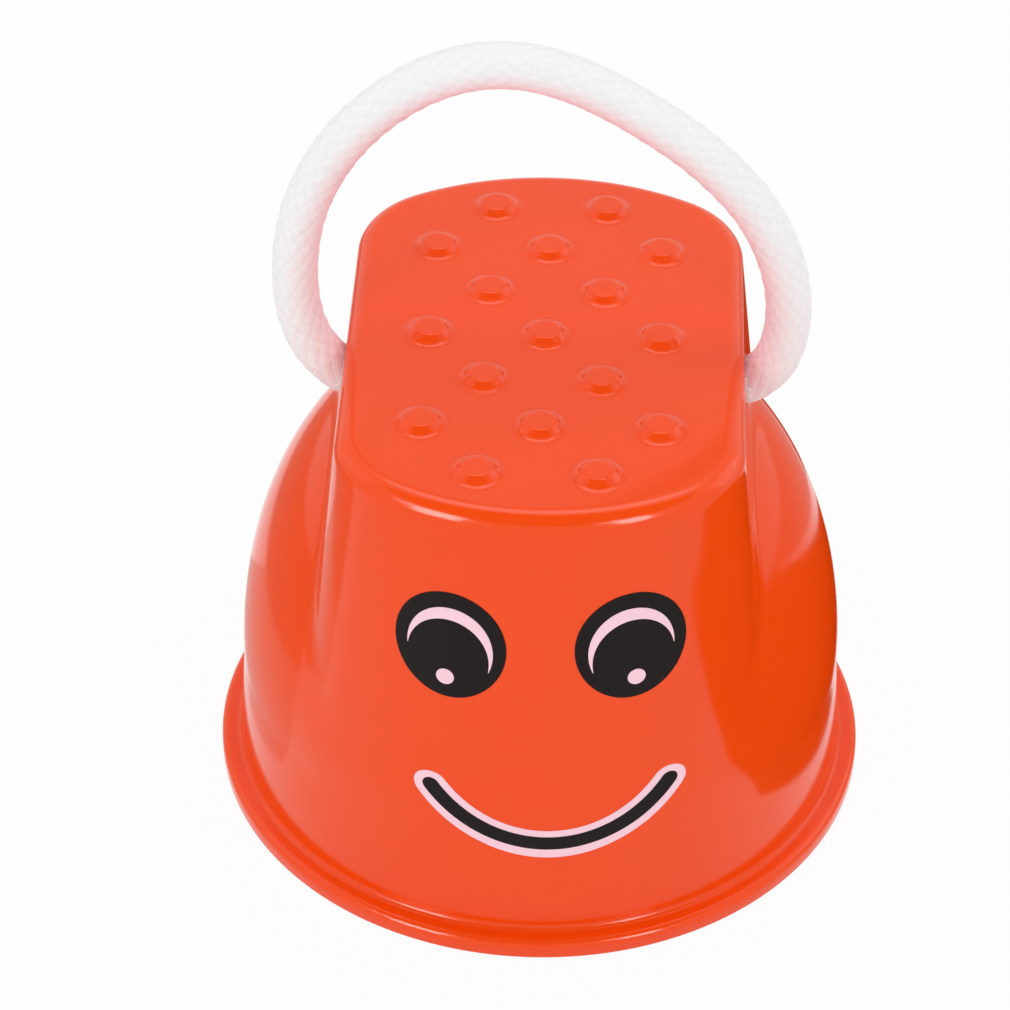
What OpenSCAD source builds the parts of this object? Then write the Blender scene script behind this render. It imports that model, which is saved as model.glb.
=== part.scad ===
// Cup stilt: a moulded stepping cup with a grip platform on top, a printed
// smiling face on its front wall and a short rope handle knotted inside.
// Millimetres. The ground is z = 0, the axis of the cup is Z and the face looks
// along -Y.

/* [Cup] */
// Height of the standing platform above the ground
cup_h = 116.5; // [108:0.5:126]
// Radius that the front and back wall would have at the ground
base_r = 70.6; // [68:0.2:73]
// Lean of the front and back wall, in degrees
wall_draft = 3.6; // [2.6:0.1:4.6]
// Thickness of the moulded walls and of the platform
wall_t = 2.4; // [1.8:0.1:2.8]
// Width of the platform between its two flat sides
platform_w = 86; // [80:1:87]
// Lean of the two flat sides, in degrees
side_draft = 6.5; // [5:0.5:8]
// Radius of the four upright corners, seen from above
corner_r = 22; // [16:1:26]
// Rounding of the edge all round the platform
edge_r = 4; // [3:0.5:6]

/* [Shoulders] */
// Depth of the crown of the shoulders' curve below the platform
shoulder_drop = 16.5; // [15:0.5:20]
// Distance of that crown from the axis
crown_r = 28; // [25:0.5:31]
// Height at which the shoulders start to leave the wall
shoulder_foot = 29; // [24:0.5:34]

/* [Base rim] */
// How far the rim stands out beyond the foot of the wall
rim_out = 4.4; // [4.2:0.2:8]
// Thickness of the rim
rim_h = 4.6; // [4:0.1:5]
// Rounding of the upper outer edge of the rim
rim_edge_r = 1.8; // [1:0.1:2.2]
// Rounding of the lower outer edge of the rim
rim_foot_r = 0.6; // [0.3:0.1:0.8]
// Radius of the hollow where the rim meets the wall
rim_valley_r = 1.5; // [1:0.1:2]
// Step by which the rim stands proud inside the cup
rim_lip = 0.4; // [0.2:0.1:0.8]

/* [Grip nubs] */
// Diameter of a nub at its foot
nub_d = 12.2; // [10:0.2:13]
// Height of a nub above the platform
nub_h = 1.6; // [1.3:0.1:2]
// Slope of a nub's flank, in degrees
nub_slope = 45; // [38:1:46]
// Rounding of the top edge of a nub
nub_edge_r = 0.9; // [0.6:0.1:1]
// Radius of the hollow round the foot of a nub
nub_foot_r = 3; // [1:0.25:3]
// Distance between the nubs of a row
nub_pitch = 25.2; // [20:0.2:26]
// Distance from row to row
nub_row_pitch = 16; // [14:0.2:17]

/* [Rope] */
// Diameter of the braided rope
rope_d = 10; // [8:0.5:11]
// Play of the rope in its holes, on the diameter
rope_play = 1; // [0.6:0.1:2]
// Height of the rope holes above the crown of the shoulders
hole_rise = 6; // [5:0.25:6]
// Diameter of a stopper knot
knot_d = 19.2; // [18.8:0.1:19.4]
// Length of a stopper knot along the rope
knot_len = 20; // [16:0.5:22]
// Rounding of the two ends of a stopper knot
knot_round = 0.5; // [0.3:0.1:0.8]
// Gap between a knot and the wall that stops it
knot_gap = 0.5; // [0.4:0.1:0.8]
// Length of the rope tail behind a knot
tail_len = 13; // [8:1:16]
// Rounding of the melted tip of a tail
tail_tip_r = 2.5; // [1:0.5:3.5]

/* [Printed eyes] */
// Depth of the eyes' centres below the platform
eye_drop = 34.5; // [33:0.5:37]
// Angle of each eye to the middle of the pair, in degrees
eye_angle = 17.1; // [15.5:0.1:17.7]
// Width of an eye
eye_w = 24.6; // [22:0.2:25]
// Height of an eye
eye_h = 27.6; // [26:0.2:28.6]
// Half width of the outer edge of a gleam
gleam_r = 9.5; // [9.2:0.1:9.9]
// Half width of the inner edge of a gleam
gleam_inner_r = 9.1; // [8.8:0.1:9.4]
// Thickness of a gleam at its top, before it is stretched upward
gleam_t = 2.7; // [2.3:0.1:3.3]
// Height of a gleam to that of a round one
gleam_tall_share = 1.15; // [1.1:0.01:1.2]
// Depth of the middle of a gleam below the centre of its eye
gleam_fall = 1.1; // [0.6:0.1:1.6]
// Lean of each gleam towards the nose, in degrees
gleam_lean = 11; // [0:1:16]
// Diameter of a glint
glint_d = 4; // [3:0.2:4.4]
// Depth of a glint below the centre of its eye
glint_drop = 8.5; // [7.8:0.1:9]
// How far a glint stands from the middle of its eye, away from the nose
glint_out = 0.9; // [0:0.1:1.5]

/* [Printed mouth] */
// Height of the lowest point of the smile's middle line
mouth_z = 29.8; // [28:0.2:34]
// Radius of the smile's middle line
mouth_r = 32; // [30:0.2:34]
// Angle that each half of the smile spans, in degrees
mouth_half = 54; // [46:1:56]
// Thickness of the dark line of the smile
mouth_t = 3.6; // [2.6:0.1:4]
// Thickness of the white outline over the dark line
mouth_margin = 1.8; // [1.4:0.1:2.2]
// Extra thickness of the white outline under the middle of the smile
mouth_swell = 0.5; // [0:0.1:1.2]

/* [Print] */
// Thickness of the printed ink
ink_t = 0.2; // [0.15:0.05:0.4]
// Gap between the ink and the wall behind it
ink_gap = 0.05; // [0.03:0.01:0.1]
// Turn of the pair of eyes off the middle of the front, in degrees
eyes_angle = 1.4; // [-2:0.1:3]
// Turn of the mouth off the middle of the front, in degrees
mouth_angle = 3.4; // [0:0.1:4]
// Tilt of the whole print, which raises its right side, in degrees
print_tilt = 1; // [-1:0.25:2]

/* [Hidden] */

// Overrun of every cut
over = 2;
$fn = 96;

cup_color = "#f1572f";
rope_color = "#f4f1ee";
black_ink_color = "#2e2628";
white_ink_color = "#f6dbe6";

// Counts of the mesh of the cup: points from the flat side to the crease, from
// the crease to the round wall and along the round wall, in one quarter, then
// levels up the shoulder outside and inside, and steps of the edge rounding
side_count = 5;
corner_count = 11;
front_count = 7;
shoulder_count = 11;
inner_shoulder_count = 8;
edge_count = 4;
// Smallest angle at which the crease is followed, and its least distance from
// the round wall
crease_min = 10;
crease_margin = 9;

// First guess at the angle of the shoulder where it reaches the flat side
top_guess = 65;

side_w = platform_w / 2;
shoulder_h = cup_h - shoulder_drop;
rim_r = base_r + rim_out;
rim_top = rim_h + rim_valley_r;
eye_z = cup_h - eye_drop;

nub_rows = 7;

hole_d = rope_d + rope_play;
hole_z = shoulder_h + hole_rise;
knot_r = knot_d / 2;
// Radius of the flat end of a knot. The knot hangs below the line of the holes,
// as far as that end still covers the rope.
knot_face_r = knot_r - knot_round;
knot_drop = knot_face_r - rope_d / 2;

// Route of the rope's free stretch: the middle of the rope, from the left hole
// to the right one, measured from the line through the two holes
rope_route = [
    [-45, 0, 0], [-49.9, 0, 5.6], [-52.9, 0.6, 12.4], [-54.2, 1.5, 20.8],
    [-53.8, 2.4, 30.8], [-51.6, 3.3, 40.8], [-47.4, 4, 50.2], [-41.7, 4.2, 58.7],
    [-34.4, 4.8, 65.9], [-25.9, 5, 71.7], [-16.3, 5, 75.4], [-6, 5, 76], [3.9, 5, 73.5],
    [13.2, 5, 69], [22, 4.6, 63.6], [30.3, 4.2, 57.6], [37.8, 3.9, 50.5], [44.3, 3.5, 42.5],
    [49.1, 2.7, 33.4], [51.9, 1.8, 23.6], [52.3, 0.9, 13.8], [50, 0, 5.4], [45, 0, 0]
];
rope_reach = abs(rope_route[0][0]);
rope_sides = 12;

// Radius of the round wall and half width between the flat sides at a height
function wall_r(z) = base_r - z * tan(wall_draft);
function side_x(z) = side_w + (cup_h - z) * tan(side_draft);

// The outline of the column from above is a circle cut by two flat sides, with
// rounded corners between. These give the centre of a corner at a height and
// its direction, and the outline's radius in a direction, drawn in by an inset.
function corner_x(z) = side_x(z) - corner_r;
function corner_y(z) = sqrt(pow(wall_r(z) - corner_r, 2) - pow(corner_x(z), 2));
function corner_turn(z) = atan2(corner_y(z), corner_x(z));
function column_r(a, z, inset) =
    let (w = side_x(z) - inset, cx = corner_x(z), cy = corner_y(z),
         c = corner_r - inset, along = cos(a) * cx + sin(a) * cy)
    a >= corner_turn(z) ? wall_r(z) - inset
    : w * tan(a) <= cy ? w / cos(a)
    : along + sqrt(along * along - cx * cx - cy * cy + c * c);

// Direction in which the column comes out of a shoulder of radius b
function crease(z, inset, b) =
    let (w = side_x(z) - inset, cx = corner_x(z), cy = corner_y(z),
         c = corner_r - inset, far = norm([cx, cy]), last = corner_turn(z) - crease_margin)
    b <= w ? crease_min
    : b >= wall_r(z) - inset ? last
    : w * tan(acos(w / b)) <= cy ? max(crease_min, min(last, acos(w / b)))
    : min(last, last + crease_margin - acos((b * b + far * far - c * c) / (2 * b * far)));

// The directions of one quarter of a level, crowded towards the corner
function quarter(z, inset, b) =
    let (start = crease(z, inset, b), turn = corner_turn(z))
    concat(
        [for (i = [0 : side_count - 1]) start * i / side_count],
        [for (i = [0 : corner_count - 1]) start + (turn - start) * sin(90 * i / corner_count)],
        [for (i = [0 : front_count - 1]) turn + (90 - turn) * i / front_count]);

// One closed level of the cup's surface, at a height, drawn in by an inset, with
// the shoulder's radius b
function level(z, inset, b) =
    let (q = quarter(z, inset, b), n = len(q),
         r = [for (a = q) max(column_r(a, z, inset), b)],
         front = wall_r(z) - inset)
    concat(
        [for (i = [0 : n - 1]) [r[i] * cos(q[i]), r[i] * sin(q[i]), z]],
        [[0, front, z]],
        [for (i = [n - 1 : -1 : 1]) [-r[i] * cos(q[i]), r[i] * sin(q[i]), z]],
        [for (i = [0 : n - 1]) [-r[i] * cos(q[i]), -r[i] * sin(q[i]), z]],
        [[0, -front, z]],
        [for (i = [n - 1 : -1 : 1]) [r[i] * cos(q[i]), -r[i] * sin(q[i]), z]]);

// The shoulder is a quarter ellipse turned about the axis. At a thickness t
// inside the outer surface, these give its radius and its height at an angle,
// and the angle at which it reaches the flat side.
function shoulder_b(a, t) = crown_r + (wall_r(shoulder_foot) - t - crown_r) * cos(a);
function shoulder_z(a, t) = shoulder_foot + (shoulder_h - t - shoulder_foot) * sin(a);
function shoulder_top(t, steps = 5) =
    steps == 0 ? top_guess
    : acos((side_x(shoulder_z(shoulder_top(t, steps - 1), t)) - t - crown_r)
           / (wall_r(shoulder_foot) - t - crown_r));
function shoulder_levels(t, count) =
    [for (i = [0 : count])
        let (a = shoulder_top(t) * i / count)
        level(shoulder_z(a, t), t, shoulder_b(a, t))];

// The rounded edge under a flat top at a height, with radius r, drawn in by t
function edge_levels(top, r, t, count) =
    [for (i = [0 : count])
        let (a = 90 * i / count)
        level(top - r + r * sin(a), t + r * (1 - cos(a)), 0)];

outer_levels = concat(
    [level(rim_h / 2, 0, wall_r(rim_h / 2))],
    shoulder_levels(0, shoulder_count),
    edge_levels(cup_h, edge_r, 0, edge_count));
inner_levels = concat(
    [level(rim_h / 2, wall_t, wall_r(rim_h / 2) - wall_t)],
    shoulder_levels(wall_t, inner_shoulder_count),
    edge_levels(cup_h - wall_t, edge_r - wall_t, wall_t, edge_count));

// Faces between closed rings of n points, from ring to ring
function band(from, to, n) =
    [for (i = [0 : n - 1])
        let (j = (i + 1) % n)
        each [[from * n + i, to * n + i, to * n + j], [from * n + i, to * n + j, from * n + j]]];

// The shell runs up the outside, across the platform, and down the inside. Each
// flat top is a fan about a point on the axis.
module cup_shell() {
    n = len(outer_levels[0]);
    outer = len(outer_levels);
    inner = len(inner_levels);
    total = outer + inner;
    rings = concat(outer_levels, [for (i = [inner - 1 : -1 : 0]) inner_levels[i]]);
    polyhedron(
        points = concat(
            [for (ring = rings) each ring],
            [[0, 0, cup_h], [0, 0, cup_h - wall_t]]),
        faces = concat(
            [for (k = [0 : outer - 2]) each band(k, k + 1, n)],
            [for (i = [0 : n - 1]) [(outer - 1) * n + (i + 1) % n, (outer - 1) * n + i, total * n]],
            [for (i = [0 : n - 1]) [outer * n + i, outer * n + (i + 1) % n, total * n + 1]],
            [for (k = [outer : total - 2]) each band(k, k + 1, n)],
            band(total - 1, 0, n)),
        convexity = 6);
}

// Points of a round corner about a centre, from one angle to another
function arc(cx, cy, r, from, to, steps = 8) =
    [for (i = [0 : steps])
        let (a = from + (to - from) * i / steps)
        [cx + r * cos(a), cy + r * sin(a)]];

module rim() {
    inside = wall_r(rim_top) - wall_t - rim_lip;
    rotate_extrude()
        polygon(concat(
            [[inside, 0]],
            arc(rim_r - rim_foot_r, rim_foot_r, rim_foot_r, -90, 0, 3),
            arc(rim_r - rim_edge_r, rim_h - rim_edge_r, rim_edge_r, 0, 90, 6),
            arc(wall_r(rim_h) + rim_valley_r, rim_top, rim_valley_r, -90, -180, 5),
            [[inside + rim_lip + wall_t / 2, rim_top], [inside, rim_h]]));
}

// A nub rises from the platform in a hollow curve, a straight flank and a
// rounded edge. These give how far the flank runs and the radius of the flat top.
module nub() {
    curves = nub_edge_r + nub_foot_r;
    run = (nub_h - curves * (1 - cos(nub_slope))) / tan(nub_slope);
    top_r = nub_d / 2 - curves * sin(nub_slope) - run;
    rotate_extrude($fn = 48)
        polygon(concat(
            [[0, -wall_t / 2], [nub_d / 2, -wall_t / 2]],
            arc(nub_d / 2, nub_foot_r, nub_foot_r, -90, -90 - nub_slope, 5),
            arc(top_r, nub_h - nub_edge_r, nub_edge_r, 90 - nub_slope, 90, 5),
            [[0, nub_h]]));
}

module cup() {
    color(cup_color)
        difference() {
            union() {
                cup_shell();
                rim();
                for (row = [0 : nub_rows - 1], i = [0 : 1 + row % 2])
                    translate([(i - (1 + row % 2) / 2) * nub_pitch,
                               (row - (nub_rows - 1) / 2) * nub_row_pitch, cup_h])
                        nub();
            }
            translate([-base_r, 0, hole_z])
                rotate([0, 90, 0])
                    cylinder(h = 2 * base_r, d = hole_d);
        }
}

// A ring of the rope about a point of its route, square to a direction
function rope_ring(p, dir) =
    let (side = [0, 1, 0] - dir * dir[1], u = side / norm(side), v = cross(dir, u))
    [for (i = [0 : rope_sides - 1])
        let (a = 360 * i / rope_sides)
        p + rope_d / 2 * (cos(a) * u + sin(a) * v)];

// The rope leaves the left hole and enters the right one along the line of the
// holes
module rope_arch() {
    count = len(rope_route);
    last = count - 1;
    rings = [for (i = [0 : last])
        let (d = rope_route[min(i + 1, last)] - rope_route[max(i - 1, 0)])
        rope_ring(rope_route[i], i == 0 || i == last ? [-1, 0, 0] : d / norm(d))];
    color(rope_color)
        translate([0, 0, hole_z])
            polyhedron(
                points = [for (ring = rings) each ring],
                faces = concat(
                    [[for (i = [0 : rope_sides - 1]) i]],
                    [for (k = [0 : last - 1]) each band(k, k + 1, rope_sides)],
                    [[for (i = [rope_sides - 1 : -1 : 0]) last * rope_sides + i]]),
                convexity = 4);
}

// The face of a knot stands a gap inside the narrowest part of the wall near it
knot_x = side_x(hole_z + knot_r) - wall_t - knot_gap;

// Pieces of rope on one side lie along X, from the hole towards the middle
module rope_neck() {
    color(rope_color)
        translate([knot_x, 0, hole_z])
            rotate([0, 90, 0])
                cylinder(h = rope_reach - knot_x, d = rope_d);
}

module knot() {
    color(rope_color)
        translate([knot_x, 0, hole_z - knot_drop])
            rotate([0, -90, 0])
                rotate_extrude()
                    polygon(concat(
                        [[0, 0]],
                        arc(knot_face_r, knot_round, knot_round, -90, 0, 5),
                        arc(knot_face_r, knot_len - knot_round, knot_round, 0, 90, 5),
                        [[0, knot_len]]));
}

module rope_tail() {
    color(rope_color)
        translate([knot_x - knot_len, 0, hole_z - knot_drop])
            rotate([0, -90, 0])
                rotate_extrude()
                    polygon(concat(
                        [[0, 0], [rope_d / 2, 0]],
                        arc(rope_d / 2 - tail_tip_r, tail_len - tail_tip_r, tail_tip_r, 0, 90, 5),
                        [[0, tail_len]]));
}

// Radius of the front at a height. Low down the shoulders' curve stands a little
// proud of the wall there.
function front_r(z) =
    let (rise = (z - shoulder_foot) / (shoulder_h - shoulder_foot))
    rise <= 0 || rise >= 1 ? wall_r(z)
    : max(wall_r(z), crown_r + (wall_r(shoulder_foot) - crown_r) * sqrt(1 - rise * rise));

// A film of ink that follows the front, with its steps at the levels of the
// cup's mesh. Its outline is drawn on a flat sheet in front of the cup, turned
// about the axis.
module film(turn) {
    heights = concat(
        [0],
        [for (i = [0 : shoulder_count]) shoulder_z(shoulder_top(0) * i / shoulder_count, 0)],
        [cup_h]);
    last = len(heights) - 1;
    intersection() {
        rotate_extrude($fn = 180)
            polygon(concat(
                [for (z = heights) [front_r(z) + ink_gap + ink_t, z]],
                [for (i = [last : -1 : 0]) [front_r(heights[i]) + ink_gap, heights[i]]]));
        rotate([0, 0, turn])
            rotate([90, 0, 0])
                linear_extrude(height = base_r + over)
                    children();
    }
}

// The two eyes are mirror images about the middle of the pair, with side +1 for
// the right one and -1 for the left one
module eye_film(side) {
    film(eyes_angle + side * eye_angle)
        translate([0, eye_z + side * sin(print_tilt) * sin(eye_angle) * wall_r(eye_z)])
            rotate(print_tilt)
                children();
}

module eye_outline() {
    steps = 72;
    polygon([for (i = [0 : steps - 1])
        [eye_w / 2 * cos(360 * i / steps), eye_h / 2 * sin(360 * i / steps)]]);
}

// A gleam is a stretched crescent: what a circle leaves uncovered of another
// one. These give how far down the covering circle lies, how far down the two
// cross, and the angles at which the tips of the crescent lie on each.
module gleam_outline(side) {
    drop = gleam_inner_r + gleam_t - gleam_r;
    meet = (gleam_r * gleam_r - gleam_inner_r * gleam_inner_r + drop * drop) / (2 * drop);
    outer_end = -asin(meet / gleam_r);
    inner_end = asin((drop - meet) / gleam_inner_r);
    inner = arc(0, -drop, gleam_inner_r, 180 - inner_end, inner_end, 36);
    lean = side * gleam_lean;
    polygon([
        for (p = concat(arc(0, 0, gleam_r, outer_end, 180 - outer_end, 36),
                        [for (i = [1 : len(inner) - 2]) inner[i]]))
            [p[0] * cos(lean) - p[1] * sin(lean),
             (p[0] * sin(lean) + p[1] * cos(lean)) * gleam_tall_share - gleam_fall]]);
}

module glint_outline(side) {
    translate([side * glint_out, -glint_drop])
        circle(d = glint_d, $fn = 48);
}

module eye(side) {
    color(black_ink_color)
        eye_film(side)
            difference() {
                eye_outline();
                gleam_outline(side);
                glint_outline(side);
            }
}

// Outline of a band along the smile, from an inner to an outer radius, with
// round ends. The swell thickens its lower edge towards the middle.
function smile_points(margin, swell) =
    let (half_t = mouth_t / 2 + margin, steps = 36, end_steps = 10,
         end_x = mouth_r * sin(mouth_half), end_y = -mouth_r * cos(mouth_half))
    concat(
        [for (i = [0 : steps])
            let (share = 2 * i / steps - 1, a = mouth_half * share,
                 r = mouth_r + half_t + swell * cos(90 * share))
            [r * sin(a), -r * cos(a)]],
        [for (i = [1 : end_steps - 1])
            let (a = mouth_half - 90 + 180 * i / end_steps)
            [end_x + half_t * cos(a), end_y + half_t * sin(a)]],
        [for (i = [steps : -1 : 0])
            let (a = mouth_half * (2 * i / steps - 1), r = mouth_r - half_t)
            [r * sin(a), -r * cos(a)]],
        [for (i = [1 : end_steps - 1])
            let (a = 90 - mouth_half + 180 * i / end_steps)
            [-end_x + half_t * cos(a), end_y + half_t * sin(a)]]);

module mouth_film() {
    film(mouth_angle)
        translate([0, mouth_z + mouth_r])
            rotate(print_tilt)
                children();
}

module mouth_line() {
    color(black_ink_color)
        mouth_film()
            polygon(smile_points(0, 0));
}

module mouth_outline() {
    color(white_ink_color)
        mouth_film()
            difference() {
                polygon(smile_points(mouth_margin, mouth_swell));
                polygon(smile_points(0, 0));
            }
}

module rope_neck_right() {
    rope_neck();
}

module rope_neck_left() {
    mirror([1, 0, 0]) rope_neck();
}

module knot_right() {
    knot();
}

module knot_left() {
    mirror([1, 0, 0]) knot();
}

module rope_tail_right() {
    rope_tail();
}

module rope_tail_left() {
    mirror([1, 0, 0]) rope_tail();
}

module eye_left() {
    eye(-1);
}

module eye_right() {
    eye(1);
}

module eye_gleam_left() {
    color(white_ink_color) eye_film(-1) gleam_outline(-1);
}

module eye_gleam_right() {
    color(white_ink_color) eye_film(1) gleam_outline(1);
}

module eye_glint_left() {
    color(white_ink_color) eye_film(-1) glint_outline(-1);
}

module eye_glint_right() {
    color(white_ink_color) eye_film(1) glint_outline(1);
}

cup();
rope_arch();
rope_neck_left();
rope_neck_right();
knot_left();
knot_right();
rope_tail_left();
rope_tail_right();
eye_left();
eye_right();
eye_gleam_left();
eye_gleam_right();
eye_glint_left();
eye_glint_right();
mouth_outline();
mouth_line();
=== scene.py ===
# Cup stilt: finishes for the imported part, with its camera and studio.
# Shapes are worked out in millimetres and turned into metres as each mesh is made.
import math
import bpy
import bmesh
import numpy as np
from mathutils import Matrix, Vector


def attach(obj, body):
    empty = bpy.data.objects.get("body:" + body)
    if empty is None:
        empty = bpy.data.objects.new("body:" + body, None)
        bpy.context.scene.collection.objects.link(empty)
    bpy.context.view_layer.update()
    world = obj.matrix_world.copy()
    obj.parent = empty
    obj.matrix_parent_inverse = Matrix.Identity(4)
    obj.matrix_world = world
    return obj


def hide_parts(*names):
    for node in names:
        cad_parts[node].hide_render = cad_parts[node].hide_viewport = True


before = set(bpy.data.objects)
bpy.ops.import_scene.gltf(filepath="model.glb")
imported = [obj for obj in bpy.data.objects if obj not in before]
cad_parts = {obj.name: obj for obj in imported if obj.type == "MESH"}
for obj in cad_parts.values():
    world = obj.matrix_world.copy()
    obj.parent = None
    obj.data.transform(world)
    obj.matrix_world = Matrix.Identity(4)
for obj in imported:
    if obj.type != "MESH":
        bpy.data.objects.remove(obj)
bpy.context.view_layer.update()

mm = 0.001


# the camera stands at the photograph's angle, with its far clip in metres
cameraSet = {"azimuth": 2.11, "elevation": 39.5, "roll": 0.416, "distance": 819,
             "focalPixels": 3626.4, "imagePixels": 1010, "aimSide": -8.48, "aimHeight": 68.54,
             "sensor": 36, "farClip": 20}


def makeCamera(s):
    az, el, roll = (math.radians(s[key]) for key in ("azimuth", "elevation", "roll"))
    back = Vector((math.sin(az) * math.cos(el), -math.cos(az) * math.cos(el), math.sin(el)))
    right = (-back).cross(Vector((0, 0, 1))).normalized()
    up = right.cross(-back)
    place = (Vector((0, 0, s["aimHeight"])) + right * s["aimSide"] + back * s["distance"]) * mm
    rightRolled = right * math.cos(roll) + up * math.sin(roll)
    upRolled = up * math.cos(roll) - right * math.sin(roll)
    lensData = bpy.data.cameras.new("photoCamera")
    lensData.sensor_width = s["sensor"]
    lensData.lens = s["focalPixels"] / s["imagePixels"] * s["sensor"]
    lensData.clip_end = s["farClip"]
    cameraObj = bpy.data.objects.new("photoCamera", lensData)
    bpy.context.scene.collection.objects.link(cameraObj)
    turn = Matrix((rightRolled, upRolled, back)).transposed().to_4x4()
    cameraObj.matrix_world = Matrix.Translation(place) @ turn
    bpy.context.scene.camera = cameraObj


makeCamera(cameraSet)
print("camera placed")


def ringFaces(rings, count, first=0):
    # quads between closed rings of points, one ring after the other
    col = np.arange(count)
    nxt = (col + 1) % count
    row = first + np.arange(rings - 1)[:, None] * count
    quads = np.stack([row + col, row + nxt, row + count + nxt, row + count + col], axis=-1)
    return quads.reshape(-1, 4).tolist()


def makeObject(name, points, faces, smooth=True):
    mesh = bpy.data.meshes.new(name)
    mesh.from_pydata((np.asarray(points, float) * mm).tolist(), [], faces)
    mesh.validate()
    tidy = bmesh.new()
    tidy.from_mesh(mesh)
    bmesh.ops.recalc_face_normals(tidy, faces=tidy.faces[:])
    tidy.to_mesh(mesh)
    tidy.free()
    mesh.polygons.foreach_set("use_smooth", [smooth] * len(mesh.polygons))
    obj = bpy.data.objects.new(name, mesh)
    bpy.context.scene.collection.objects.link(obj)
    return obj


def smoothPath(points, step):
    # evenly spaced points on a smooth curve through the given ones
    pts = np.asarray(points, float)
    ends = np.vstack([2 * pts[0] - pts[1], pts, 2 * pts[-1] - pts[-2]])
    share = np.linspace(0, 1, 24, endpoint=False)[:, None]
    runs = []
    for a, b, c, d in zip(ends[:-3], ends[1:-2], ends[2:-1], ends[3:]):
        runs.append(0.5 * (2 * b + (c - a) * share + (2 * a - 5 * b + 4 * c - d) * share ** 2
                           + (3 * b - a - 3 * c + d) * share ** 3))
    dense = np.vstack(runs + [pts[-1:]])
    along = np.concatenate([[0], np.cumsum(np.linalg.norm(np.diff(dense, axis=0), axis=1))])
    stops = np.linspace(0, along[-1], max(8, int(round(along[-1] / step)) + 1))
    return np.stack([np.interp(stops, along, dense[:, k]) for k in range(3)], axis=1), stops


def carriedFrames(path, side):
    # two directions square to the path, carried along it without twist
    way = np.gradient(path, axis=0)
    way /= np.linalg.norm(way, axis=1)[:, None]
    across = np.zeros_like(path)
    last = np.asarray(side, float)
    for i, w in enumerate(way):
        last = last - w * last.dot(w)
        last /= np.linalg.norm(last)
        across[i] = last
    return across, np.cross(way, across)


# the braided rope, with the height of its holes and its two ends inside them
ropeSet = {"diameter": 10, "strands": 10, "cellLength": 4.6, "around": 140, "step": 0.27,
           "relief": 0.26, "yarnRelief": 0.05, "yarns": 3, "acrossRound": 0.55, "alongRound": 0.8,
           "tipLeast": 0.02, "holeZ": 106, "leadX": 41.5, "leadInDrop": 0.8, "leadOutDrop": 0.4}


def braidHeight(angle, along, s):
    # how far the surface stands up, 0 to 1, for strands that cross over and under
    u = s["strands"] * angle / (2 * math.pi) + along / s["cellLength"]
    v = s["strands"] * angle / (2 * math.pi) - along / s["cellLength"]
    firstOnTop = (np.floor(u) + np.floor(v)) % 2 < 1
    across = np.where(firstOnTop, u % 1, v % 1)
    length = np.where(firstOnTop, v % 1, u % 1)
    round1 = np.sin(math.pi * across) ** s["acrossRound"]
    round2 = 0.5 + 0.5 * np.sin(math.pi * length) ** s["alongRound"]
    yarn = np.cos(2 * math.pi * s["yarns"] * across)
    return round1 * round2, yarn


def braidTube(name, points, s, width=1.0, tip=0, side=(0, 1, 0)):
    # a braid along a curve, at a share of the rope's width, with its far end rounded over a tip
    path, along = smoothPath(points, s["step"])
    across, upward = carriedFrames(path, side)
    angle = np.linspace(0, 2 * math.pi, s["around"], endpoint=False)
    height, yarn = braidHeight(angle[None, :], along[:, None], s)
    low = s["diameter"] / 2 - s["relief"]
    radius = low + s["relief"] * height - s["yarnRelief"] * yarn * height
    wide = np.full_like(along, width)
    if tip:
        near = np.clip((along[-1] - along) / tip, s["tipLeast"], 1)
        wide = wide * np.sqrt(1 - (1 - near) ** 2)
    radius = radius * wide[:, None]
    cos, sin = np.cos(angle)[None, :, None], np.sin(angle)[None, :, None]
    grid = path[:, None, :] + radius[:, :, None] * (cos * across[:, None, :] + sin * upward[:, None, :])
    n = s["around"]
    verts = np.vstack([grid.reshape(-1, 3), path[:1], path[-1:]])
    total = len(path) * n
    faces = ringFaces(len(path), n)
    faces += [[total, (i + 1) % n, i] for i in range(n)]
    faces += [[total + 1, total - n + i, total - n + (i + 1) % n] for i in range(n)]
    obj = makeObject(name, verts, faces)
    # how deep each point lies between the strands, for the painted shade in the grooves
    depth = np.concatenate([height.reshape(-1), [0.5, 0.5]])
    addLayer(obj, "strandTop", depth)
    return obj, path


def addLayer(obj, name, values):
    layer = obj.data.attributes.new(name, "FLOAT", "POINT")
    layer.data.foreach_set("value", np.asarray(values, np.float32))


# where the painted reflection of the cup's orange falls on the rope
paintedBounceSet = {"middle": (0, 2, 135), "spread": 0.25, "reach": 1.1, "power": 1.5, "share": 0.7,
            "topShare": 0.6, "topFrom": 145, "topRun": 30, "footShare": 0.3, "footTo": 150,
            "footRun": 45, "leftFoot": 0.35}


def markPaintedBounce(obj, path, s):
    # painted reflection of the cup's colour on the white rope, standing in for its bounced light: most
    # where it looks into the arch, and some near its two feet, less at the left one
    points = np.array([v.co for v in obj.data.vertices]) / mm
    near = np.concatenate([np.repeat(np.arange(len(path)), ropeSet["around"]), [0, len(path) - 1]])
    out = points - path[near]
    inward = np.asarray(s["middle"], float) - path[near]
    out /= np.linalg.norm(out, axis=1)[:, None] + 1e-9
    inward /= np.linalg.norm(inward, axis=1)[:, None]
    x, _, z = path[near].T
    facing = np.clip(((out * inward).sum(axis=1) + s["spread"]) / s["reach"], 0, 1)
    high = np.clip((z - s["topFrom"]) / s["topRun"], 0, 1)
    low = np.clip((s["footTo"] - z) / s["footRun"], 0, 1) * np.where(x > 0, 1, s["leftFoot"])
    amount = facing ** s["power"] * (s["share"] + s["topShare"] * high) + s["footShare"] * low
    addLayer(obj, "paintedBounce", np.clip(amount, 0, 1))


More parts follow.
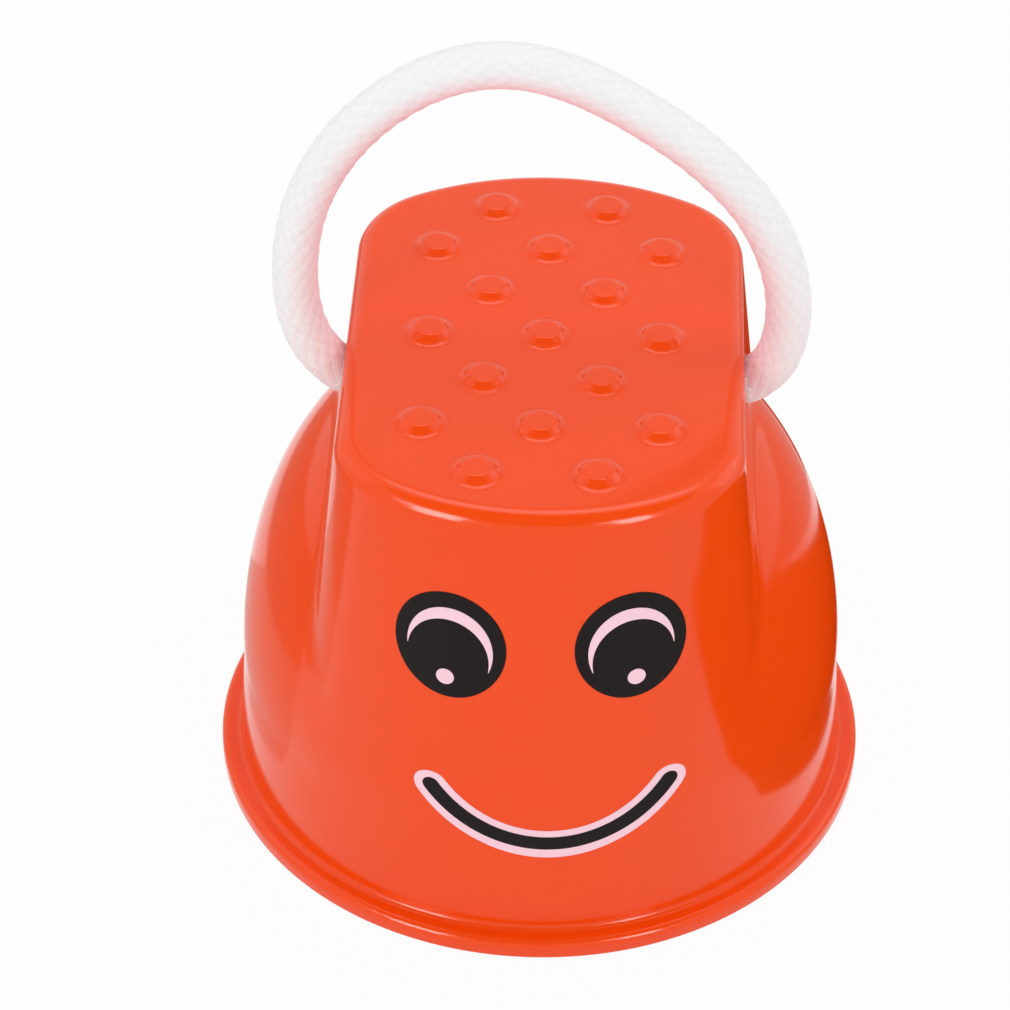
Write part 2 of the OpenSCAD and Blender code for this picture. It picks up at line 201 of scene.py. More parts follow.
# the free stretch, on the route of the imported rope, measured from the line of the holes
archRoute = [
    [-45, 0, 0], [-49.9, 0, 5.6], [-52.9, 0.6, 12.4], [-54.2, 1.5, 20.8], [-53.8, 2.4, 30.8],
    [-51.6, 3.3, 40.8], [-47.4, 4, 50.2], [-41.7, 4.2, 58.7], [-34.4, 4.8, 65.9], [-25.9, 5, 71.7],
    [-16.3, 5, 75.4], [-6, 5, 76], [3.9, 5, 73.5], [13.2, 5, 69], [22, 4.6, 63.6],
    [30.3, 4.2, 57.6], [37.8, 3.9, 50.5], [44.3, 3.5, 42.5], [49.1, 2.7, 33.4], [51.9, 1.8, 23.6],
    [52.3, 0.9, 13.8], [50, 0, 5.4], [45, 0, 0]]
raisedRoute = [[x, y, z + ropeSet["holeZ"]] for x, y, z in archRoute]
leadIn = [[-ropeSet["leadX"], 0, ropeSet["holeZ"] - ropeSet["leadInDrop"]]]
leadOut = [[ropeSet["leadX"], 0, ropeSet["holeZ"] - ropeSet["leadOutDrop"]]]
archRope, archPath = braidTube("ropeArch", leadIn + raisedRoute + leadOut, ropeSet)
markPaintedBounce(archRope, archPath, paintedBounceSet)

knotSet = {"faceX": 40.2, "length": 20, "diameter": 19.2, "drop": 4.1, "strandWidth": 0.82,
           "turns": 2.1, "margin": 0.1, "core": 0.35, "spiral": 4.5, "steps": 30, "tail": 13,
           "tailWidth": 0.97, "tip": 2.6, "wrapMesh": {"step": 0.34, "around": 120},
           "neckRoute": [[-5, 0, 4], [-2, 0, 4], [2, 0, 3.6], [5, 0, 2.5]]}


def knotPieces(s, sideSign, label):
    # neck in the hole, wraps of the stopper knot, and the tail that comes out behind them
    axisZ = ropeSet["holeZ"] - s["drop"]
    half = ropeSet["diameter"] / 2 * s["strandWidth"]
    wrapR = s["diameter"] / 2 - half
    firstX, lastX = half + s["margin"], s["length"] - half - s["margin"]

    def put(points):
        return [[sideSign * (s["faceX"] - x), y, axisZ + z] for x, y, z in points]

    neck, _ = braidTube("ropeNeck" + label, put(s["neckRoute"]), ropeSet)
    wraps = []
    for i in range(s["steps"] + 1):
        share = i / s["steps"]
        turn = math.radians(90) + sideSign * share * s["turns"] * 2 * math.pi
        reach = wrapR * min(1, s["core"] + s["spiral"] * share, s["core"] + s["spiral"] * (1 - share))
        wraps.append([firstX + (lastX - firstX) * share, reach * math.cos(turn), reach * math.sin(turn)])
    wrap, _ = braidTube("ropeKnot" + label, put(wraps), dict(ropeSet, **s["wrapMesh"]),
                        width=s["strandWidth"], side=(1, 0, 0))
    tailStart, tailEnd = s["length"], s["length"] + s["tail"]
    tailRoute = [[tailStart - 7, 0, 0], [tailStart + 1, 0.2, 0], [tailEnd - 4, -0.2, 0], [tailEnd, 0, 0]]
    tail, _ = braidTube("ropeTail" + label, put(tailRoute), ropeSet, width=s["tailWidth"], tip=s["tip"])
    return neck, wrap, tail


necks, knots, tails = zip(knotPieces(knotSet, -1, "Left"), knotPieces(knotSet, 1, "Right"))
for pieces, nodes in ((necks, "rope_neck_"), (knots, "knot_"), (tails, "rope_tail_")):
    for piece, side in zip(pieces, ("left", "right")):
        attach(piece, "handle")
        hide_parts(nodes + side)
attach(archRope, "handle")
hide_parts("rope_arch")
[tuple(p * mm) for p in archPath[::20]] + [tuple(archPath[-1] * mm)]
print("rope made")


# the moulded cup, laid out as rings of points round its axis, and the nubs on its platform
cupSet = {"height": 116.5, "baseR": 70.6, "wallDraft": 3.6, "wall": 2.4, "platformWidth": 86,
          "sideDraft": 6.5, "cornerR": 22, "edgeR": 4, "crownZ": 100, "crownR": 28, "footZ": 29,
          "creaseFillet": 1.8, "creaseProbe": 0.3, "creaseBend": 0.45, "rimR": 75, "rimH": 4.6,
          "rimEdgeR": 1.8, "rimFootR": 0.6, "valleyR": 1.5, "rimLip": 0.4, "footIn": 0.3,
          "footUp": 0.4, "lipIn": 0.1, "lipUp": 0.3, "holeR": 5.5, "holeFlare": 0.7, "cutIn": 4,
          "cutOut": 3}
nubSet = {"radius": 6.1, "height": 1.6, "slope": 45, "edgeR": 0.9, "footR": 3, "root": 0.6,
          "pitch": 25.2, "rowPitch": 16, "rows": 7, "around": 64}


def wallR(z):
    return cupSet["baseR"] - z * math.tan(math.radians(cupSet["wallDraft"]))


def sideX(z):
    slope = math.tan(math.radians(cupSet["sideDraft"]))
    return cupSet["platformWidth"] / 2 + (cupSet["height"] - z) * slope


def shoulderR(z, inset):
    rise = (z - cupSet["footZ"]) / (cupSet["crownZ"] - inset - cupSet["footZ"])
    if rise >= 1:
        return 0.0
    start = wallR(cupSet["footZ"]) - inset
    return cupSet["crownR"] + (start - cupSet["crownR"]) * math.sqrt(1 - max(0, rise) ** 2)


# directions round the cup, closest where the corners and creases run
quarterTurns = np.concatenate([np.linspace(start, end, count, endpoint=False)
                               for start, end, count in ((0, 6, 6), (6, 62, 112), (62, 90, 20))])
cupTurns = np.radians(np.concatenate([quarterTurns, 180 - quarterTurns[:0:-1], quarterTurns + 180,
                                      360 - quarterTurns[:0:-1]]))
cupTurns = np.unique(np.round(np.concatenate([cupTurns, [math.pi / 2, 3 * math.pi / 2]]), 9))
foldedTurns = np.arctan2(np.abs(np.sin(cupTurns)), np.abs(np.cos(cupTurns)))


def columnR(z, inset):
    # radius of the column in every direction: flat sides, round corners, round front and back
    w, cx, c = sideX(z) - inset, sideX(z) - cupSet["cornerR"], cupSet["cornerR"] - inset
    cy = math.sqrt((wallR(z) - cupSet["cornerR"]) ** 2 - cx ** 2)
    along = np.cos(foldedTurns) * cx + np.sin(foldedTurns) * cy
    corner = along + np.sqrt(np.maximum(along ** 2 - cx ** 2 - cy ** 2 + c ** 2, 0))
    flat = w / np.maximum(np.cos(foldedTurns), 0.05)
    radius = np.where(w * np.tan(foldedTurns) <= cy, flat, corner)
    return np.where(foldedTurns >= math.atan2(cy, cx), wallR(z) - inset, radius)


def shellRing(z, inset):
    # the column with the shoulder round it, and a fillet only where the two cross
    column, shoulder = columnR(z, inset), shoulderR(z, inset)
    if shoulder <= 0 or z < cupSet["footZ"]:
        return column if z >= cupSet["footZ"] else np.full_like(column, wallR(z) - inset)
    slope = np.gradient(column, cupTurns) / column
    probe = cupSet["creaseProbe"]
    fall = (columnR(z + probe, inset) - columnR(z - probe, inset)
            - shoulderR(z + probe, inset) + shoulderR(z - probe, inset)) / (2 * probe)
    size = cupSet["creaseFillet"] * np.clip(np.hypot(slope, fall) / cupSet["creaseBend"], 1e-4, 1)
    close = np.clip(size - np.abs(column - shoulder), 0, None) / size
    return np.maximum(column, shoulder) + close ** 2 * size / 4


def buildCup():
    s = cupSet
    rings = []

    def addRing(radius, z):
        radius = np.broadcast_to(radius, cupTurns.shape)
        rings.append(np.stack([radius * np.cos(cupTurns), radius * np.sin(cupTurns),
                               np.full_like(cupTurns, z)], axis=1))

    def addArc(cx, cz, r, start, end, steps):
        for a in np.radians(np.linspace(start, end, steps + 1)):
            addRing(cx + r * math.cos(a), cz + r * math.sin(a))

    inside = wallR(s["rimH"] + s["valleyR"]) - s["wall"] - s["rimLip"]
    addRing(inside, s["footUp"])
    addRing(inside + s["footIn"], 0)
    addArc(s["rimR"] - s["rimFootR"], s["rimFootR"], s["rimFootR"], -90, 0, 4)
    addArc(s["rimR"] - s["rimEdgeR"], s["rimH"] - s["rimEdgeR"], s["rimEdgeR"], 0, 90, 8)
    addArc(wallR(s["rimH"]) + s["valleyR"], s["rimH"] + s["valleyR"], s["valleyR"], -90, -180, 6)
    for z in np.linspace(s["rimH"] + s["valleyR"], s["footZ"], 8)[1:-1]:
        addRing(wallR(z), z)
    span = s["crownZ"] - s["footZ"]
    for a in np.radians(np.arange(0, 84.1, 0.5)):
        addRing(shellRing(s["footZ"] + span * math.sin(a), 0), s["footZ"] + span * math.sin(a))
    for z in np.linspace(s["crownZ"], s["height"] - s["edgeR"], 5)[:-1]:
        addRing(columnR(z, 0), z)
    for a in np.radians(np.linspace(0, 90, 17)):
        z = s["height"] - s["edgeR"] * (1 - math.sin(a))
        addRing(columnR(z, s["edgeR"] * (1 - math.cos(a))), z)
    # two rings inside each flat keep its shading level
    capMargins = (0.4, 3)
    for margin in capMargins:
        addRing(columnR(s["height"], s["edgeR"] + margin), s["height"])
    capRing = len(rings)
    ceiling = s["height"] - s["wall"]
    innerEdge = s["edgeR"] - s["wall"]
    for margin in capMargins[::-1]:
        addRing(columnR(ceiling, s["edgeR"] + margin), ceiling)
    for a in np.radians(np.linspace(90, 0, 7)):
        z = ceiling - innerEdge * (1 - math.sin(a))
        addRing(columnR(z, s["wall"] + innerEdge * (1 - math.cos(a))), z)
    for z in np.linspace(s["crownZ"], ceiling - innerEdge, 5)[-2::-1]:
        addRing(shellRing(z, s["wall"]), z)
    for a in np.radians(np.arange(82, -0.1, -1.5)):
        z = s["footZ"] + (span - s["wall"]) * math.sin(a)
        addRing(shellRing(z, s["wall"]), z)
    for z in np.linspace(s["footZ"], s["rimH"] + s["valleyR"], 8)[1:-1]:
        addRing(wallR(z) - s["wall"], z)
    addRing(inside + s["rimLip"], s["rimH"] + s["valleyR"])
    addRing(inside + s["lipIn"], s["rimH"] + s["lipUp"])
    addRing(inside, s["rimH"] - s["lipIn"])
    n = len(cupTurns)
    faces = ringFaces(capRing, n) + ringFaces(len(rings) - capRing, n, capRing * n)
    total = len(rings) * n
    faces += [[(capRing - 1) * n + i, (capRing - 1) * n + (i + 1) % n, total] for i in range(n)]
    faces += [[capRing * n + (i + 1) % n, capRing * n + i, total + 1] for i in range(n)]
    last = (len(rings) - 1) * n
    faces += [[last + i, last + (i + 1) % n, (i + 1) % n, i] for i in range(n)]
    points = np.vstack(rings + [np.array([[0, 0, s["height"]], [0, 0, ceiling]])])
    return makeObject("cupBody", points, faces)


def holeCutter():
    # a bore along X whose mouths flare where they meet the two drafted sides
    s = cupSet
    outer = sideX(ropeSet["holeZ"])
    slope = math.tan(math.radians(s["sideDraft"]))
    flare = s["holeFlare"]
    half = [[outer - s["cutIn"], s["holeR"]], [outer - flare, s["holeR"]]]
    half += [[outer - flare + flare * math.sin(a), s["holeR"] + flare * (1 - math.cos(a))]
             for a in np.radians([20, 40, 60, 75, 90])]
    half += [[outer + s["cutOut"], s["holeR"] + flare]]
    profile = [[-x, r] for x, r in half[::-1]] + half
    count = 64
    verts = []
    for x, r in profile:
        for k in range(count):
            a = 2 * math.pi * k / count
            dz = r * math.sin(a)
            verts.append([x - math.copysign(slope * dz, x), r * math.cos(a), ropeSet["holeZ"] + dz])
    faces = ringFaces(len(profile), count)
    faces += [list(range(count))[::-1], [(len(profile) - 1) * count + k for k in range(count)]]
    return makeObject("holeCutter", verts, faces)


def cutWith(obj, cutter):
    step = obj.modifiers.new("cut", "BOOLEAN")
    step.operation, step.object, step.solver = "DIFFERENCE", cutter, "EXACT"
    mesh = bpy.data.meshes.new_from_object(obj.evaluated_get(bpy.context.evaluated_depsgraph_get()))
    obj.modifiers.clear()
    obj.data = mesh
    bpy.data.objects.remove(cutter)


def addNubs(obj):
    s, top = nubSet, cupSet["height"]
    slope, curves = math.radians(s["slope"]), s["edgeR"] + s["footR"]
    run = (s["height"] - curves * (1 - math.cos(slope))) / math.tan(slope)
    topR = s["radius"] - curves * math.sin(slope) - run
    shape = [[topR / 2, s["height"]]]
    shape += [[topR + s["edgeR"] * math.sin(a), s["height"] - s["edgeR"] * (1 - math.cos(a))]
              for a in np.linspace(0, slope, 8)]
    shape += [[s["radius"] - s["footR"] * math.sin(a), s["footR"] * (1 - math.cos(a))]
              for a in np.linspace(slope, 0, 12)]
    shape += [[s["radius"], -s["root"]]]
    n = s["around"]
    ring = np.linspace(0, 2 * math.pi, n, endpoint=False)
    base = [[r * math.cos(a), r * math.sin(a), z] for r, z in shape for a in ring]
    total = len(shape) * n
    last = total - n
    faces = ringFaces(len(shape), n)
    faces += [[total, (i + 1) % n, i] for i in range(n)]
    faces += [[total + 1, last + i, last + (i + 1) % n] for i in range(n)]
    base += [[0, 0, s["height"]], [0, 0, -s["root"]]]
    mesh = bmesh.new()
    mesh.from_mesh(obj.data)
    for row in range(s["rows"]):
        for i in range(2 + row % 2):
            x = (i - (1 + row % 2) / 2) * s["pitch"]
            y = (row - (s["rows"] - 1) / 2) * s["rowPitch"]
            verts = [mesh.verts.new(((p[0] + x) * mm, (p[1] + y) * mm, (p[2] + top) * mm)) for p in base]
            for face in faces:
                made = mesh.faces.new([verts[k] for k in face])
                made.smooth = True
    mesh.to_mesh(obj.data)
    mesh.free()


cupBody = buildCup()
cutWith(cupBody, holeCutter())
addNubs(cupBody)
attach(cupBody, "cup")
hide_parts("cup")
print("cup made,", len(cupBody.data.polygons), "faces")


# the printed face, thin ink on the front wall
eyeSet = {"height": 82, "turn": 17.1, "off": 1.4, "width": 24.6, "tall": 27.6,
          "gleamR": 9.5, "gleamInnerR": 9.1, "gleamThick": 2.7, "tallShare": 1.15, "fall": 1.1,
          "lean": 11, "glint": 4, "glintDrop": 8.5, "glintOut": 0.9}
mouthSet = {"lowest": 29.8, "radius": 32, "half": 54, "thick": 3.6, "margin": 1.8, "swell": 0.5,
            "off": 3.4, "capStart": 0.12}
inkSet = {"lift": 0.04, "layer": 0.06, "tilt": 1, "sharp": 40}


def frontR(z):
    return max(wallR(z), shoulderR(z, 0))


def onWall(u, v, turn, lift):
    # a point of a flat sheet in front of the cup, pushed back on to the wall
    r = frontR(v) + lift
    y = -math.sqrt(r * r - u * u)
    a = math.radians(turn)
    return [u * math.cos(a) - y * math.sin(a), u * math.sin(a) + y * math.cos(a), v]


def inkPiece(name, sheet, wrap, turn, layer):
    # sheet is a grid of flat points, rows by columns, closed round each row if wrap is set
    rows, cols = len(sheet), len(sheet[0])
    low = inkSet["lift"] + layer * inkSet["layer"]
    verts = [onWall(u, v, turn, low + inkSet["layer"]) for line in sheet for u, v in line]
    verts += [onWall(u, v, turn, low) for line in sheet for u, v in line]
    half = rows * cols
    faces = []
    for r in range(rows - 1):
        for c in range(cols if wrap else cols - 1):
            d = (c + 1) % cols
            quad = [r * cols + c, r * cols + d, (r + 1) * cols + d, (r + 1) * cols + c]
            faces += [quad, [k + half for k in quad[::-1]]]
    if wrap:
        edge = [(rows - 1) * cols + c for c in range(cols)]
        middle = len(verts)
        u0 = sum(p[0] for p in sheet[0]) / cols
        v0 = sum(p[1] for p in sheet[0]) / cols
        verts += [onWall(u0, v0, turn, low + inkSet["layer"]), onWall(u0, v0, turn, low)]
        for c in range(cols):
            faces += [[c, (c + 1) % cols, middle], [half + (c + 1) % cols, half + c, middle + 1]]
    else:
        edge = list(range(cols)) + [r * cols + cols - 1 for r in range(1, rows)]
        edge += [(rows - 1) * cols + c for c in range(cols - 2, -1, -1)]
        edge += [r * cols for r in range(rows - 2, 0, -1)]
    for a, b in zip(edge, edge[1:] + edge[:1]):
        faces.append([a, b, b + half, a + half])
    obj = makeObject(name, verts, faces)
    obj.data.set_sharp_from_angle(angle=math.radians(inkSet["sharp"]))
    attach(obj, "cup")
    return obj


def turned(u, v, a):
    return [u * math.cos(a) - v * math.sin(a), u * math.sin(a) + v * math.cos(a)]


def placed(sheet, middle):
    # a flat sheet tilted as the whole print is, with its middle at a height
    tilt = math.radians(inkSet["tilt"])
    return [[[u, v + middle] for u, v in (turned(*p, tilt) for p in line)] for line in sheet]


def discSheet(cx, cy, rx, ry, rings=10, around=120):
    return [[[cx + rx * k / rings * math.cos(a), cy + ry * k / rings * math.sin(a)]
             for a in np.linspace(0, 2 * math.pi, around, endpoint=False)] for k in range(1, rings + 1)]


def gleamSheet(s, sideSign):
    # a crescent between two circles, the second set lower, leaned and then stretched upward
    drop = s["gleamInnerR"] + s["gleamThick"] - s["gleamR"]
    meet = (s["gleamR"] ** 2 - s["gleamInnerR"] ** 2 + drop ** 2) / (2 * drop)
    outer = -math.asin(meet / s["gleamR"])
    inner = math.asin((drop - meet) / s["gleamInnerR"])
    lines = []
    for share in np.linspace(0, 1, 5):
        row = []
        for t in np.linspace(0, 1, 72)[1:-1]:
            a, b = outer + (math.pi - 2 * outer) * t, inner + (math.pi - 2 * inner) * t
            u = (1 - share) * s["gleamR"] * math.cos(a) + share * s["gleamInnerR"] * math.cos(b)
            v = (1 - share) * s["gleamR"] * math.sin(a) + share * (s["gleamInnerR"] * math.sin(b) - drop)
            u, v = turned(u, v, math.radians(sideSign * s["lean"]))
            row.append([u, v * s["tallShare"] - s["fall"]])
        lines.append(row)
    return lines


def smileSheet(s, margin, swell):
    # a band along the smile with round ends, about the middle of the smile's circle
    halfThick = s["thick"] / 2 + margin
    across = np.linspace(-1, 1, 9)
    cap = halfThick / s["radius"]
    lines = [[] for _ in across]
    half = math.radians(s["half"])
    stops = [-half - cap * math.cos(t) for t in np.linspace(s["capStart"], math.pi / 2, 10)[:-1]]
    stops += list(np.linspace(-half, half, 121))
    stops += [half + cap * math.cos(t) for t in np.linspace(math.pi / 2, s["capStart"], 10)[1:]]
    for a in stops:
        over = max(0, abs(a) - half) / cap
        thick = halfThick * math.sqrt(max(0, 1 - over ** 2))
        extra = swell * math.cos(min(1, abs(a) / half) * math.pi / 2)
        for line, k in zip(lines, across):
            r = s["radius"] + thick * k + (extra * k if k > 0 else 0)
            line.append([r * math.sin(a), -r * math.cos(a)])
    return lines


blackPrint, whitePrint = [], []
for side, label in ((-1, "left"), (1, "right")):
    turn, s = eyeSet["off"] + side * eyeSet["turn"], eyeSet
    # the tilt of the print lifts the right eye and lowers the left one
    lift = math.sin(math.radians(inkSet["tilt"])) * math.sin(math.radians(s["turn"]))
    middle = s["height"] + side * lift * wallR(s["height"])
    eye = inkPiece("eye" + label.title(), placed(discSheet(0, 0, s["width"] / 2, s["tall"] / 2), middle),
                   True, turn, 0)
    gleam = inkPiece("gleam" + label.title(), placed(gleamSheet(s, side), middle), False, turn, 1)
    spot = discSheet(side * s["glintOut"], -s["glintDrop"], s["glint"] / 2, s["glint"] / 2, 4, 48)
    glint = inkPiece("glint" + label.title(), placed(spot, middle), True, turn, 1)
    blackPrint.append((eye, "eye_" + label))
    whitePrint += [(gleam, "eye_gleam_" + label), (glint, "eye_glint_" + label)]
smileMiddle = mouthSet["lowest"] + mouthSet["radius"]
whiteBand = placed(smileSheet(mouthSet, mouthSet["margin"], mouthSet["swell"]), smileMiddle)
blackBand = placed(smileSheet(mouthSet, 0, 0), smileMiddle)
whitePrint.append((inkPiece("mouthWhite", whiteBand, False, mouthSet["off"], 0), "mouth_outline"))
blackPrint.append((inkPiece("mouthBlack", blackBand, False, mouthSet["off"], 1), "mouth_line"))
for pieces, slot in ((blackPrint, "black_ink"), (whitePrint, "white_ink")):
    for piece, node in pieces:
        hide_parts(node)
print("face printed")


class Wire:
    # wraps one socket of a node tree, so that shader maths is written as expressions
    def __init__(self, tree, socket=None):
        self.tree, self.socket = tree, socket

    def node(self, kind, settings=None, inputs=None, out=0):
        made = self.tree.nodes.new(kind)
        for key, value in (settings or {}).items():
            setattr(made, key, value)
        for key, value in (inputs or {}).items():
            if isinstance(value, Wire):
                self.tree.links.new(value.socket, made.inputs[key])
            else:
                made.inputs[key].default_value = value
        return Wire(self.tree, made.outputs[out]) if len(made.outputs) else made

    def maths(self, operation, first, second):
        return self.node("ShaderNodeMath", {"operation": operation}, {0: first, 1: second})

    def __add__(self, other):
        return self.maths("ADD", self, other)

    def __sub__(self, other):
        return self.maths("SUBTRACT", self, other)

    def __mul__(self, other):
        return self.maths("MULTIPLY", self, other)

    def __truediv__(self, other):
        return self.maths("DIVIDE", self, other)

    def __pow__(self, other):
        return self.maths("POWER", self, other)

    def __rsub__(self, other):
        return self.maths("SUBTRACT", other, self)

    def __rtruediv__(self, other):
        return self.maths("DIVIDE", other, self)

    __radd__ = __add__
    __rmul__ = __mul__


def finish(name, constants, varied):
    # a principled material: constants sit on its sockets, varied gives the wires to link
    material = bpy.data.materials.new(name)
    material.use_nodes = True
    tree = material.node_tree
    shader = next(n for n in tree.nodes if n.type == "BSDF_PRINCIPLED")
    for key, value in constants.items():
        shader.inputs[key].default_value = value
    for key, wire in varied(Wire(tree)).items():
        tree.links.new(wire.socket, shader.inputs[key])
    return material


def dress(obj, material):
    obj.data.materials.clear()
    obj.data.materials.append(material)


def mixColour(wire, factor, first, second):
    inputs = {0: factor, 6: first if isinstance(first, Wire) else (*first, 1),
              7: second if isinstance(second, Wire) else (*second, 1)}
    return wire.node("ShaderNodeMix", {"data_type": "RGBA"}, inputs, 2)


def noise(wire, scale, detail=4, rough=0.55):
    place = wire.node("ShaderNodeTexCoord", out=3)
    return wire.node("ShaderNodeTexNoise", None,
                     {"Vector": place, "Scale": scale, "Detail": detail, "Roughness": rough})


def bump(wire, strength, distance, height):
    return wire.node("ShaderNodeBump", None,
                     {"Strength": strength, "Distance": distance, "Height": height})


plasticSet = {"colour": (0.93, 0.072, 0.002), "deep": (0.91, 0.066, 0.002), "cloudScale": 22,
              "rough": 0.13, "smearScale": 140, "smear": 0.10, "peelScale": 900,
              "peelStrength": 0.35, "peel": 0.00002}
# the groove colour is painted shade that darkens the rope between its strands
# the pink is a painted reflection of the cup's colour on the white rope
ropeFinish = {"white": (0.94, 0.94, 0.95), "paintedGrooveShade": (0.86, 0.85, 0.87), "paintedBouncePink": (0.98, 0.68, 0.72),
              "fullAt": 0.75, "least": 0.62, "rough": 0.78, "roughSpread": 0.2, "fuzzScale": 1400,
              "fuzzStrength": 0.6, "fuzz": 0.0003}
inkFinish = {"black": (0.008, 0.004, 0.004), "white": (0.96, 0.61, 0.69), "grainScale": 600,
             "lighter": 1.12, "lift": 0.004, "rough": 0.42, "roughSpread": 0.08}


def plasticWires(w):
    s = plasticSet
    cloud = noise(w, s["cloudScale"], 3)
    peel = noise(w, s["peelScale"], 2)
    return {"Base Color": mixColour(w, cloud, s["deep"], s["colour"]),
            "Roughness": s["rough"] + (noise(w, s["smearScale"], 5) - 0.5) * s["smear"],
            "Normal": bump(w, s["peelStrength"], s["peel"], peel)}


def ropeWires(w):
    s = ropeFinish
    top = w.node("ShaderNodeAttribute", {"attribute_name": "strandTop"}, out=2)
    fuzz = noise(w, s["fuzzScale"], 4, 0.7)
    # painted shade: the rope's colour darkens where its surface lies low between the strands
    shade = w.node("ShaderNodeMapRange", None, {"Value": top, 1: 0.0, 2: s["fullAt"], 3: 0.0, 4: 1.0})
    # painted reflection: the rope's white turns pink where the cup's light would bounce on to it
    inner = w.node("ShaderNodeAttribute", {"attribute_name": "paintedBounce"}, out=2)
    yarnWithPaintedBounce = mixColour(w, inner, s["white"], s["paintedBouncePink"])
    return {"Base Color": mixColour(w, s["least"] + shade * (1 - s["least"]), s["paintedGrooveShade"], yarnWithPaintedBounce),
            "Roughness": s["rough"] + fuzz * s["roughSpread"],
            "Normal": bump(w, s["fuzzStrength"], s["fuzz"], fuzz)}


def inkWires(colour):
    def wires(w):
        s = inkFinish
        grain = noise(w, s["grainScale"], 3)
        lighter = tuple(min(1, c * s["lighter"] + s["lift"]) for c in colour)
        return {"Base Color": mixColour(w, grain, colour, lighter),
                "Roughness": s["rough"] + grain * s["roughSpread"]}
    return wires


cupPlastic = finish("cupPlastic", {"IOR": 1.49, "Specular IOR Level": 0.32}, plasticWires)
whiteRope = finish("whiteRope", {"Sheen Weight": 0.15, "Sheen Roughness": 0.5, "Specular IOR Level": 0.2},
                   ropeWires)
blackInk = finish("blackInk", {"Specular IOR Level": 0.12}, inkWires(inkFinish["black"]))
whiteInk = finish("whiteInk", {"Specular IOR Level": 0.25}, inkWires(inkFinish["white"]))
dress(cupBody, cupPlastic)
for piece in (archRope, *necks, *knots, *tails):
    dress(piece, whiteRope)
for pieces, ink in ((blackPrint, blackInk), (whitePrint, whiteInk)):
    for piece, _ in pieces:
        dress(piece, ink)
print("finishes on")


# the studio, in metres but for the cards over the floor
cupMiddle = (0, 0, 0.08)
studioSet = {"floorSize": 6, "floorWhite": 0.9, "glow": 0.93, "worldLight": 0.72, "cardLift": 2,
             "lampDistance": 1.3}
# azimuth, elevation, size and power of each lamp
lampSet = {"overheadBox": (180, 72, (1.0, 0.6), 1.7), "leftKey": (-40, 29, (0.53, 0.30), 2.3),
           "rightKey": (32, 30, (0.34, 0.30), 1.6), "rightFill": (112, 28, (0.8, 0.8), 1.9),
           "leftFill": (-105, 35, (0.8, 0.8), 0.8)}
# azimuth, elevation, distance, size and colour of each card that faces the cup
facingCards = {"darkCeiling": (0, 60, 1.6, (2.4, 1.8), (0.15, 0.12, 0.10)),
               "overheadGlow": (180, 72, 1.3, (0.8, 0.45), (3.5, 3.5, 3.5)),
               "leftGlow": (-36, 20, 1.25, (0.36, 0.55), (14, 14, 14)),
               "rightGlow": (34, 22, 1.25, (0.24, 0.45), (14, 14, 14))}
# outline in millimetres and colour of each card just over the floor
lyingCards = {"rightCard": ([(79, -45), (85, -52), (145, -123), (195, -112), (700, -112), (700, 112),
                             (79, 97)], (0.30, 0.02, 0.0)),
              "rightSideCard": ([(46, 112), (92, 112), (92, 215), (46, 215)], (0.30, 0.02, 0.0)),
              "rightBackCard": ([(100, 118), (800, 118), (800, 800), (100, 800)], (0.55, 0.40, 0.38)),
              "leftMidCard": ([(-150, -30), (-80, -30), (-80, 60), (-150, 60)], (0.70, 0.62, 0.60)),
              "leftBackCard": ([(-800, -30), (-150, -30), (-150, 700), (-800, 700)],
                               (0.45, 0.32, 0.30))}


def blankTree(owner):
    # the empty node tree of a material or world, ready for expressions
    owner.use_nodes = True
    owner.node_tree.nodes.clear()
    return Wire(owner.node_tree)


def lightPath(w):
    # 1 for rays from the camera and for those that mirror or pass on the background
    camera = w.node("ShaderNodeLightPath", out=0)
    glossy = w.node("ShaderNodeLightPath", out=3)
    through = w.node("ShaderNodeLightPath", out=6)
    return w.maths("MAXIMUM", camera, w.maths("MAXIMUM", glossy, through))


def makeFloor(s):
    size = s["floorSize"] / mm / 2
    corners = [[-size, -size, 0], [size, -size, 0], [size, size, 0], [-size, size, 0]]
    floor = makeObject("studioFloor", corners, [[0, 1, 2, 3]], False)
    material = bpy.data.materials.new("paleFloor")
    w = blankTree(material)
    seen = lightPath(w)
    matte = w.node("ShaderNodeBsdfDiffuse", None, {"Color": (s["floorWhite"],) * 3 + (1,)})
    glow = w.node("ShaderNodeEmission", None, {"Color": (1, 1, 1, 1), "Strength": 1.0})
    mixed = w.node("ShaderNodeMixShader", None, {0: seen * s["glow"], 1: matte, 2: glow})
    w.node("ShaderNodeOutputMaterial", None, {0: mixed})
    dress(floor, material)


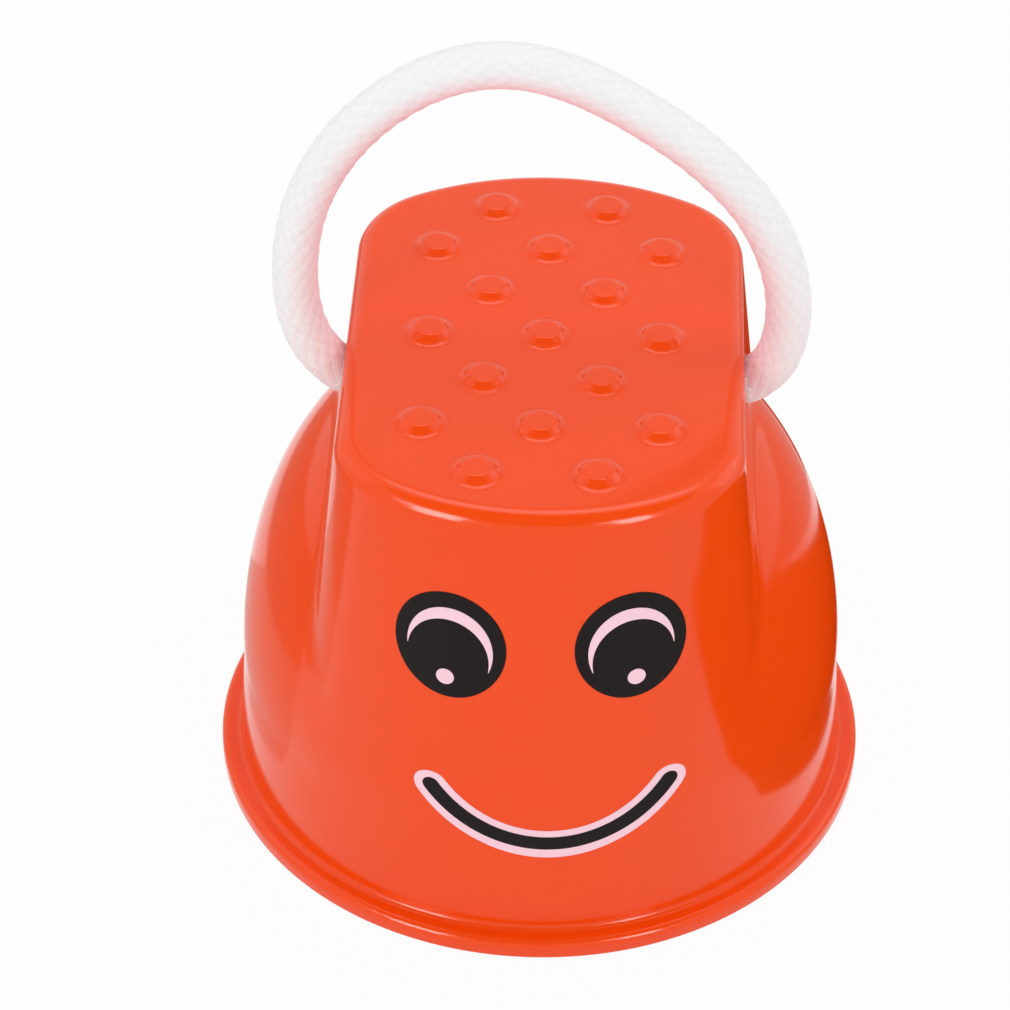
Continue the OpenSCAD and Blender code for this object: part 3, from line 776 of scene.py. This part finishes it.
def makeWorld(s):
    world = bpy.data.worlds.new("paleWorld")
    bpy.context.scene.world = world
    w = blankTree(world)
    strength = s["worldLight"] + lightPath(w) * (1 - s["worldLight"])
    back = w.node("ShaderNodeBackground", None, {"Color": (1, 1, 1, 1), "Strength": strength})
    w.node("ShaderNodeOutputWorld", None, {0: back})


def makeLamp(name, place, size, power):
    data = bpy.data.lights.new(name, "AREA")
    data.shape, data.size, data.size_y, data.energy = "RECTANGLE", size[0], size[1], power
    lamp = bpy.data.objects.new(name, data)
    bpy.context.scene.collection.objects.link(lamp)
    lamp.location = place
    lamp.rotation_euler = (Vector(cupMiddle) - Vector(place)).to_track_quat("-Z", "Y").to_euler()


def makeCard(name, corners, colour):
    # a studio card that only gloss sees
    card = makeObject(name, corners, [list(range(len(corners)))], False)
    card.visible_camera = card.visible_diffuse = card.visible_shadow = card.visible_transmission = False
    material = bpy.data.materials.new(name)
    w = blankTree(material)
    glow = w.node("ShaderNodeEmission", None, {"Color": (*colour, 1), "Strength": 1.0})
    w.node("ShaderNodeOutputMaterial", None, {0: glow})
    dress(card, material)


def aroundCup(azimuth, elevation, distance):
    # a place in the studio, azimuth 0 in front of the face and growing towards +X
    az, el = math.radians(azimuth), math.radians(elevation)
    return (distance * math.sin(az) * math.cos(el), -distance * math.cos(az) * math.cos(el),
            cupMiddle[2] + distance * math.sin(el))


def facing(place, size):
    # corners of a card in the studio that faces the cup
    back = (Vector(place) - Vector(cupMiddle)).normalized()
    right = Vector((0, 0, 1)).cross(back).normalized() * size[0] / 2
    up = back.cross(right).normalized() * size[1] / 2
    return [(Vector(place) + right * a + up * b) / mm for a, b in ((-1, -1), (1, -1), (1, 1), (-1, 1))]


def lying(outline):
    # corners of a card that lies just over the floor, in millimetres
    return [[x, y, studioSet["cardLift"]] for x, y in outline]


makeFloor(studioSet)
makeWorld(studioSet)
for name, (azimuth, elevation, size, power) in lampSet.items():
    makeLamp(name, aroundCup(azimuth, elevation, studioSet["lampDistance"]), size, power)
for name, (azimuth, elevation, distance, size, colour) in facingCards.items():
    makeCard(name, facing(aroundCup(azimuth, elevation, distance), size), colour)
for name, (outline, colour) in lyingCards.items():
    makeCard(name, lying(outline), colour)
bpy.context.scene.view_settings.view_transform = "Standard"
print("studio lit")
